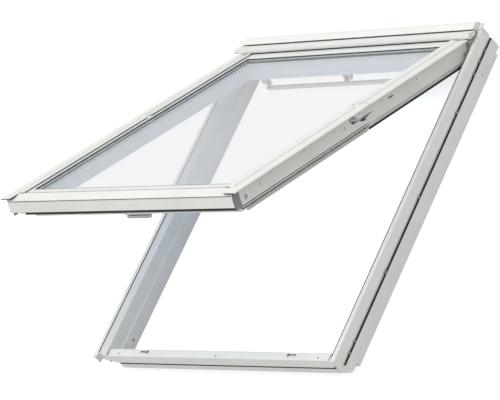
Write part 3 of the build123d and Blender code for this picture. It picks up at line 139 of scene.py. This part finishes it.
# Extruded EPDM rubber: matt black, slightly uneven from the die
extruded_rubber = coated("extruded_epdm", "#161718", "#1F2022", 0.75, 2.0, 0.05, patch_mm=30.0, IOR=1.5)
# Glass-filled nylon of clips and corner blocks: dull grey, which on the corner blocks also paints the shade of the
# recess they sit in
nylon_and_recess_shade = coated("nylon_and_recess_shade", "#8F908D", "#868784", 0.6, 0.9, 0.03, patch_mm=30.0, IOR=1.53)
# Zinc plate over pressed steel, blue passivated: cloudy and half bright
zinc_plate = coated("zinc_plated_steel", "#AEB1B3", "#9A9DA0", 0.34, 1.5, 0.01, patch_mm=8.0, Metallic=1.0)
# Anodised aluminium tube: drawn lines along its length, soft metallic sheen
anodised = coated("anodised_aluminium", "#C6CACC", "#B6BBBF", 0.38, 1.2, 0.01, stretch=(0.05, 1, 1),
                  Metallic=1.0)
# Warm-edge spacer of the sealed unit: grey-green plastic over a metal foil, slightly porous, made paler than its own
# tone as painted light for the light and reflections it would catch between the panes
spacer_bar = coated("warm_edge_spacer", "#E6EAE4", "#DDE2DA", 0.5, 1.8, 0.08, patch_mm=12.0, IOR=1.5)


def glazing_glass():
    """Float glass of the sealed unit: clear and polished, with a faint blue body.

    Shadow rays and diffuse rays pass it straight, as they would a thin pane.
    """
    material, tree, out = new_material("float_glass")
    glass = add(tree, "ShaderNodeBsdfPrincipled", Base_Color=linear("#F0F1F3"), Roughness=0.0, IOR=1.5,
                Transmission_Weight=1.0)
    thin = add(tree, "ShaderNodeBsdfTransparent", Color=linear("#DFE9F6"))
    both = add(tree, "ShaderNodeMixShader", _0=any_ray(tree, "Is Shadow Ray", "Is Diffuse Ray"),
               _1=glass.outputs[0], _2=thin.outputs[0])
    tree.links.new(both.outputs[0], out.inputs[0])
    return material


finishes = {
    "white_core": moulded_skin,
    "white_metal": powder_coat,
    "white_plastic": moulded_abs,
    "seal": extruded_rubber,
    "steel": zinc_plate,
    "bare_aluminium": anodised,
    "glass": glazing_glass(),
}
slots = {part["node"]: part["material_slot"] for part in frame["record"]["subparts"]}
body_of_node = {name: body for body, names in frame["record"]["behaviour"]["bodies"].items() for name in names}


def finish_of(name):
    """Finish of a node: clips and corner blocks are grey nylon, whose grey also paints the shade of the blocks' recess,
    and the leaf's sheet metal has a darker copy of the coat as painted shade.
    """
    if name in ("groove_clips", "sash_corner_blocks"):
        return nylon_and_recess_shade
    on_leaf = slots[name] == "white_metal" and body_of_node[name] != "frame"
    return shaded_cover_coat if on_leaf else finishes[slots[name]]


for name, node in nodes.items():
    node.data.materials.clear()
    node.data.materials.append(finish_of(name))


def finish_piece(name, mesh, body, slot, material=None):
    """Puts a new mesh in the scene with its finish, on the body that carries it."""
    mesh.materials.clear()
    mesh.materials.append(material or finishes[slot])
    piece = bpy.data.objects.new(name, mesh)
    bpy.context.scene.collection.objects.link(piece)
    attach(piece, body)
    return piece


def closed_piece(name, shape, body, slot, material=None):
    """Finishes a closed bmesh as a piece, with its faces turned outwards."""
    bmesh.ops.recalc_face_normals(shape, faces=shape.faces)
    mesh = bpy.data.meshes.new(name)
    shape.to_mesh(mesh)
    shape.free()
    return finish_piece(name, mesh, body, slot, material)


def along_leaf(x, n, s):
    """Point of a strip that runs up the leaf, with its section in x and n."""
    return leaf(x, s, n)


def across_leaf(s, n, x):
    """Point of a strip that runs across the leaf, with its section in s and n."""
    return leaf(x, s, n)


def along_frame(x, z, y):
    """Point of a strip that runs up the frame, with its section in x and z."""
    return Vector((x, y, z)) * mm


def strips(name, runs, body, slot, material=None):
    """Extruded strips as one mesh. A run is its way, its section and its two ends."""
    shape = bmesh.new()
    for way, section, low, high in runs:
        near = [shape.verts.new(way(u, v, low)) for u, v in section]
        far = [shape.verts.new(way(u, v, high)) for u, v in section]
        count = len(section)
        shape.faces.new(near)
        shape.faces.new(far[::-1])
        for i in range(count):
            shape.faces.new((near[i], far[i], far[(i + 1) % count], near[(i + 1) % count]))
    return closed_piece(name, shape, body, slot, material)


def box_section(u_low, u_high, v_low, v_high):
    """Corners of an upright rectangle."""
    return [(u_low, v_low), (u_high, v_low), (u_high, v_high), (u_low, v_high)]


def both_sides(way, section, low, high):
    """A run and its mirror image on the left."""
    return [(way, section, low, high), (way, [(-u, v) for u, v in section], low, high)]


# Spacer between the two panes, seen as a pale band inside the black seal
spacer_in, spacer_out = 382.5, 394.0
spacer_low, spacer_high = -27.5, -12.5
spacer_foot, spacer_head, spacer_width = 76.0, 1075.0, 11.5
spacer_end = 382.4
strips("spacer_bars",
       both_sides(along_leaf, box_section(spacer_in, spacer_out, spacer_low, spacer_high), spacer_foot, spacer_head)
       + [(across_leaf, box_section(s, s + spacer_width, spacer_low, spacer_high), -spacer_end, spacer_end)
          for s in (spacer_foot, spacer_head - spacer_width)],
       "sash", "bare_aluminium", spacer_bar)

# Black strips that paint the shadow in the gap under the hood's lip, where it closes on the casing, and under the
# casing's lower edge
hood_gap_shadow = [(1126.6, 15.5), (1126.6, 16.4), (1132.3, 15.9), (1132.3, 14.9)]
strips("casing_shadow_strips", [(across_leaf, hood_gap_shadow, -456, 456),
                        (across_leaf, [(1096.9, 1.9), (1096.9, -0.9), (1098.2, -0.9), (1098.2, 1.9)], -390, 390)],
       "arms", "seal")

# Black lip of the glazing seal, which stands up beside the glass and under the cap over its top edge
side_lip = [(390.7, -8.0), (390.7, -6.6), (388.6, -5.3), (387.5, -6.2), (387.5, -8.0)]
top_lip = [(1068.4, -8.0), (1068.4, -6.6), (1066.8, -5.4), (1065.4, -6.2), (1065.4, -8.0)]
strips("glazing_lips", both_sides(along_leaf, side_lip, 83.0, 1066.0) + [(across_leaf, top_lip, -387, 387)],
       "sash", "seal")

# Black strips on the side covers that paint shade beside the inner bead and along the crease, and painted shadow under
# the covers' ends and in their hollow ridge end, where they meet the bottom cover
bead_section = [(394.9, 0.7), (394.6, 0.7), (394.0, -0.9), (394.0, -1.5), (395.2, -1.5)]
crease_section = [(421.4, 0.1), (421.4, 0.62), (422.5, 0.58), (422.5, 0.1)]
ridge_end = [(416.2, -1.2), (416.2, 0.6), (397.6, 2.7), (396.8, 2.3), (396.2, -1.2)]
strips("lower_cover_shade_strips", both_sides(along_leaf, bead_section, *lower_shade_run)
       + both_sides(along_leaf, crease_section, *lower_shade_run)
       + both_sides(along_leaf, box_section(415.1, 416.1, -3.2, -0.3), 5.0, 39.0)
       + both_sides(along_leaf, box_section(417.0, 456.0, -3.9, -1.5), 3.2, 5.0)
       + both_sides(along_leaf, ridge_end, 38.9, 39.5),
       "sash", "seal")
strips("upper_cover_shade_strips", both_sides(along_leaf, bead_section, *upper_shade_run)
       + both_sides(along_leaf, crease_section, *upper_shade_run), "arms", "seal")
# Black strips that paint the shade in the recess under the bottom cover's nose and in the step behind its ridge
strips("bottom_cover_shade_strips", [
    (across_leaf, [(7.4, -12.0), (7.4, -13.4), (8.6, -13.4), (8.6, -12.0)], -438.0, 438.0),
    (across_leaf, [(39.4, 0.2), (39.4, 0.62), (41.2, 0.55), (41.2, 0.2)], -390.0, 390.0)], "sash", "seal")

# Seal under the front of the bottom cover: it stops short on the left, where a plain moulded strip goes on
front_section = [(7.5, -43.0), (9.6, -43.0), (9.6, -53.0), (6.5, -53.0), (6.0, -46.0), (7.5, -46.0)]
front_lip = strips("front_seal_lip", [(across_leaf, front_section, -379.0, 438.0)], "sash", "seal")
strips("front_seal_end", [(across_leaf, box_section(7.6, 9.6, -47.5, -43.0), -438.0, -379.2)],
       "sash", "white_plastic")
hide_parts("front_seal")

# Black rubber strips along the foot of the side fillers and of the arm skirts: the lower one of each pair on the seal
# line, the upper one a black line above it
strips("filler_black_lines", both_sides(along_leaf, box_section(433.2, 436.3, -56.4, -54.3), *filler_run)
       + both_sides(along_leaf, box_section(433.2, 436.9, -63.2, -60.7), *filler_run), "sash", "seal")
strips("skirt_black_lines", both_sides(along_leaf, box_section(432.4, 435.3, -59.95, -58.55), *skirt_run)
       + both_sides(along_leaf, box_section(430.0, 431.7, -64.9, -62.8), *skirt_run), "arms", "seal")

# Black blocks that paint the shade of the recess behind the ends of the bottom cover, and the drain slot in each arm
strips("corner_shade_wedges", both_sides(along_leaf, box_section(431.0, 438.0, -11.8, -4.2), 27.0, 38.8), "sash", "seal")
strips("arm_slot_plugs", both_sides(along_leaf, box_section(435.6, 437.75, -26.2, -23.9), *slot_run),
       "arms", "seal")

# Rubber strip in the foot of the flashing groove on either side of the frame
strips("groove_seals", both_sides(along_frame, box_section(464.2, 469.9, 50.1, 52.2), -568.0, 575.0),
       "frame", "seal")


def cover_height(x):
    """Height of the side cover's surface at x."""
    spots = [(391.0, -4.9), (395.3, -0.6), (395.9, 3.1), (397.5, 3.5), (422.0, 0.4), (456.0, 0.0)]
    for (x_low, low), (x_high, high) in zip(spots, spots[1:]):
        if x <= x_high:
            return low + (high - low) * (x - x_low) / (x_high - x_low)
    return 0.0


def cap_joint_seal():
    """Seal in the joint between the pivot caps and the upper covers: it climbs to a peak and falls off outwards."""
    start_x, start_s = 386.0, 621.0
    peak_x, peak_s = 435.5, 630.0
    fall = 22.0 / 26.5
    half_width, depth, sunk = 0.9, 1.2, 0.05
    section = ((-half_width, 0), (half_width, 0), (half_width, -depth), (-half_width, -depth))
    shape = bmesh.new()
    for side in (-1, 1):
        rows = []
        for x in (391.0, 395.3, 395.9, 397.5, 409.0, 422.0, peak_x, 446.0, 456.0):
            if x <= peak_x:
                s = start_s + (peak_s - start_s) * (x - start_x) / (peak_x - start_x)
            else:
                s = peak_s - fall * (x - peak_x)
            n = min(cover_height(x), pivot_slope * (s - pivot_s)) - sunk
            rows.append([shape.verts.new(leaf(side * x, s + ds, n + dn)) for ds, dn in section])
        for one, two in zip(rows, rows[1:]):
            for i in range(4):
                shape.faces.new((one[i], two[i], two[(i + 1) % 4], one[(i + 1) % 4]))
        shape.faces.new(rows[0])
        shape.faces.new(rows[-1][::-1])
    closed_piece("cap_joint_seals", shape, "arms", "seal")


cap_joint_seal()

# Points closer than this are one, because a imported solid's faces don't share their corners
merge_distance = 1e-6


def folded_copy(name, radius):
    """A node's shape again with its sharp edges rounded to radius, as folded or moulded edges are."""
    mesh = nodes[name].data.copy()
    mesh.name = name + "_rounded"
    shape = bmesh.new()
    shape.from_mesh(mesh)
    bmesh.ops.remove_doubles(shape, verts=shape.verts, dist=merge_distance)
    bmesh.ops.dissolve_limit(shape, angle_limit=radians(0.4), verts=shape.verts, edges=shape.edges)
    sharp = [edge for edge in shape.edges
             if len(edge.link_faces) == 2 and edge.calc_face_angle() > radians(28)]
    bmesh.ops.bevel(shape, geom=sharp, offset=radius * mm, segments=2, profile=0.5, affect="EDGES",
                    clamp_overlap=True)
    shape.to_mesh(mesh)
    shape.free()
    piece = finish_piece(name + "_rounded", mesh, body_of_node[name], slots[name], finish_of(name))
    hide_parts(name)


for name, radius in (("hood", 0.5), ("arm_casing", 0.5), ("frame_cover_left", 0.5), ("frame_cover_right", 0.5),
                     ("bottom_cover", 0.5), ("glazing_cap", 0.3), ("frame_top", 1.0), ("frame_bottom", 1.0)):
    folded_copy(name, radius)


def screw_tree(material):
    """Geometry Nodes tree that puts a screw head on every point, facing as the point's attribute says.

    A head is a low cone with a six-sided recess. Its sizes are inputs, in metres.
    """
    top_share = 0.74
    tree = bpy.data.node_groups.new("screw_heads", "GeometryNodeTree")
    tree.interface.new_socket("Geometry", in_out="INPUT", socket_type="NodeSocketGeometry")
    for label in ("Radius", "Height", "Recess"):
        tree.interface.new_socket(label, in_out="INPUT", socket_type="NodeSocketFloat")
    tree.interface.new_socket("Geometry", in_out="OUTPUT", socket_type="NodeSocketGeometry")
    given = add(tree, "NodeGroupInput")
    top = add(tree, "ShaderNodeMath", {"operation": "MULTIPLY"}, _0=given.outputs["Radius"], _1=top_share)
    head = add(tree, "GeometryNodeMeshCone", Vertices=24, Radius_Top=top.outputs[0],
               Radius_Bottom=given.outputs["Radius"], Depth=given.outputs["Height"])
    socket = add(tree, "GeometryNodeMeshCylinder", Vertices=6, Radius=given.outputs["Recess"],
                 Depth=given.outputs["Height"])
    rise = add(tree, "ShaderNodeCombineXYZ", Z=given.outputs["Height"])
    raised = add(tree, "GeometryNodeTransform", Geometry=socket.outputs["Mesh"], Translation=rise.outputs[0])
    cut = add(tree, "GeometryNodeMeshBoolean", {"operation": "DIFFERENCE", "solver": "EXACT"})
    tree.links.new(head.outputs["Mesh"], cut.inputs[0])
    tree.links.new(raised.outputs[0], cut.inputs[1])
    facing = add(tree, "GeometryNodeInputNamedAttribute", {"data_type": "FLOAT_VECTOR"}, Name="facing")
    turned = add(tree, "FunctionNodeAlignRotationToVector", {"axis": "Z"}, Vector=facing.outputs[0])
    placed = add(tree, "GeometryNodeInstanceOnPoints", Points=given.outputs["Geometry"],
                 Instance=cut.outputs[0], Rotation=turned.outputs[0])
    real = add(tree, "GeometryNodeRealizeInstances", Geometry=placed.outputs[0])
    finished = add(tree, "GeometryNodeSetMaterial", Geometry=real.outputs[0], Material=material)
    add(tree, "NodeGroupOutput", Geometry=finished.outputs[0])
    return tree


def islands(node):
    """Lowest and highest corner of each separate solid of a node, in metres."""
    shape = bmesh.new()
    shape.from_mesh(nodes[node].data)
    bmesh.ops.remove_doubles(shape, verts=shape.verts, dist=merge_distance)
    left = set(shape.verts)
    boxes = []
    while left:
        reached = [left.pop()]
        group = []
        while reached:
            vert = reached.pop()
            group.append(vert.co.copy())
            for edge in vert.link_edges:
                other = edge.other_vert(vert)
                if other in left:
                    left.remove(other)
                    reached.append(other)
        boxes.append([Vector([end(co[i] for co in group) for i in range(3)]) for end in (min, max)])
    shape.free()
    return boxes


def screw_heads(node, axis, radius, height, recess):
    """Replaces a node's plain discs by screw heads that face along an axis, away from the middle."""
    spots = []
    for low, high in islands(node):
        spot = (low + high) / 2
        side = 1.0 if spot[axis] > 0 else -1.0
        spot[axis] = high[axis] - height * mm if side > 0 else low[axis] + height * mm
        spots.append((spot, Vector([side if i == axis else 0.0 for i in range(3)])))
    points = bpy.data.meshes.new(node + "_points")
    points.from_pydata([spot for spot, way in spots], [], [])
    facing = points.attributes.new("facing", "FLOAT_VECTOR", "POINT")
    for i, (spot, way) in enumerate(spots):
        facing.data[i].vector = way
    holder = bpy.data.objects.new(node + "_points", points)
    bpy.context.scene.collection.objects.link(holder)
    modifier = holder.modifiers.new("heads", "NODES")
    modifier.node_group = screw_tree(finishes["steel"])
    sizes = {"Radius": radius * mm, "Height": height * mm, "Recess": recess * mm}
    for item in modifier.node_group.interface.items_tree:
        if item.item_type == "SOCKET" and item.in_out == "INPUT" and item.name in sizes:
            modifier[item.identifier] = sizes[item.name]
    whole = holder.evaluated_get(bpy.context.evaluated_depsgraph_get())
    mesh = bpy.data.meshes.new_from_object(whole)
    holder.modifiers.remove(modifier)
    bpy.data.objects.remove(holder)
    piece = finish_piece(node + "_heads", mesh, body_of_node[node], slots[node])
    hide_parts(node)


# Radius, height and recess of the heads in millimetres. Those of the leaf face sideways, the frame's face outwards.
x_axis, z_axis = 0, 2
screw_heads("arm_screws", x_axis, 3.6, 0.8, 1.6)
screw_heads("sash_screws", x_axis, 5.2, 0.7, 2.4)
screw_heads("frame_screws", z_axis, 3.2, 1.0, 1.4)


# Camera, fitted to lines of the frame, hood and leaf in the photograph
camera = bpy.data.objects.new("camera", bpy.data.cameras.new("camera"))
bpy.context.scene.collection.objects.link(camera)
right = Vector((0.73398789, 0.38548279, -0.55916437))
down = Vector((-0.01734002, -0.81240967, -0.58282917))
ahead = Vector((-0.67894117, 0.43748548, -0.58961458))
turn = Matrix((right, -down, -ahead)).transposed().to_4x4()
camera.matrix_world = Matrix.Translation((6.20369, -4.11390, 5.60500)) @ turn
camera.data.sensor_width = 36.0
camera.data.lens = 227.561
camera.data.clip_end = 60.0
bpy.context.scene.camera = camera
bpy.context.scene.view_settings.view_transform = "Standard"


def white_world(strength):
    """White dome: it lights at strength, and is plain white to the camera, in glass and in glossy surfaces."""
    world = bpy.data.worlds.new("studio")
    world.use_nodes = True
    bpy.context.scene.world = world
    tree = world.node_tree
    tree.nodes.clear()
    seen = any_ray(tree, "Is Camera Ray", "Is Transmission Ray", "Is Glossy Ray")
    level = add(tree, "ShaderNodeMix", {"data_type": "FLOAT"}, _0=seen, _2=strength, _3=1.0)
    shade = add(tree, "ShaderNodeBackground", Color=(1, 1, 1, 1), Strength=level.outputs[0])
    out = add(tree, "ShaderNodeOutputWorld")
    tree.links.new(shade.outputs[0], out.inputs[0])


def lamp(name, place, target, size, power):
    """A square soft light of a size in metres and a power in watts, turned to a target."""
    light = bpy.data.lights.new(name, "AREA")
    light.size = size
    light.energy = power
    holder = bpy.data.objects.new(name, light)
    bpy.context.scene.collection.objects.link(holder)
    direction = Vector(target) - Vector(place)
    holder.matrix_world = Matrix.Translation(place) @ direction.to_track_quat("-Z", "Y").to_matrix().to_4x4()


def white_floor(reach, gap, paper_tone, glow_strength):
    """Floor a gap under the frame: white to the camera with the part's faint shadow, plain white in glass and metal."""
    mesh = bpy.data.meshes.new("floor")
    mesh.from_pydata([(-reach, -reach, -gap), (reach, -reach, -gap), (reach, reach, -gap), (-reach, reach, -gap)],
                     [], [(0, 1, 2, 3)])
    floor = bpy.data.objects.new("floor", mesh)
    bpy.context.scene.collection.objects.link(floor)
    material, tree, out = new_material("paper_floor")
    paper = add(tree, "ShaderNodeBsdfDiffuse", Color=(paper_tone, paper_tone, paper_tone, 1))
    glow = add(tree, "ShaderNodeEmission", Color=(1, 1, 1, 1), Strength=glow_strength)
    lifted = add(tree, "ShaderNodeAddShader", _0=paper.outputs[0], _1=glow.outputs[0])
    direct = add(tree, "ShaderNodeMixShader", _0=any_ray(tree, "Is Camera Ray"),
                 _1=paper.outputs[0], _2=lifted.outputs[0])
    plain = add(tree, "ShaderNodeEmission", Color=(1, 1, 1, 1), Strength=1.0)
    whole = add(tree, "ShaderNodeMixShader", _0=any_ray(tree, "Is Transmission Ray", "Is Glossy Ray"),
                _1=direct.outputs[0], _2=plain.outputs[0])
    tree.links.new(whole.outputs[0], out.inputs[0])
    mesh.materials.append(material)


white_world(0.9)
lamp("key", (0.6, -0.1, 4.9), (0, 0, 0.2), 3.0, 75)
white_floor(14.0, 0.002, 0.45, 0.75)
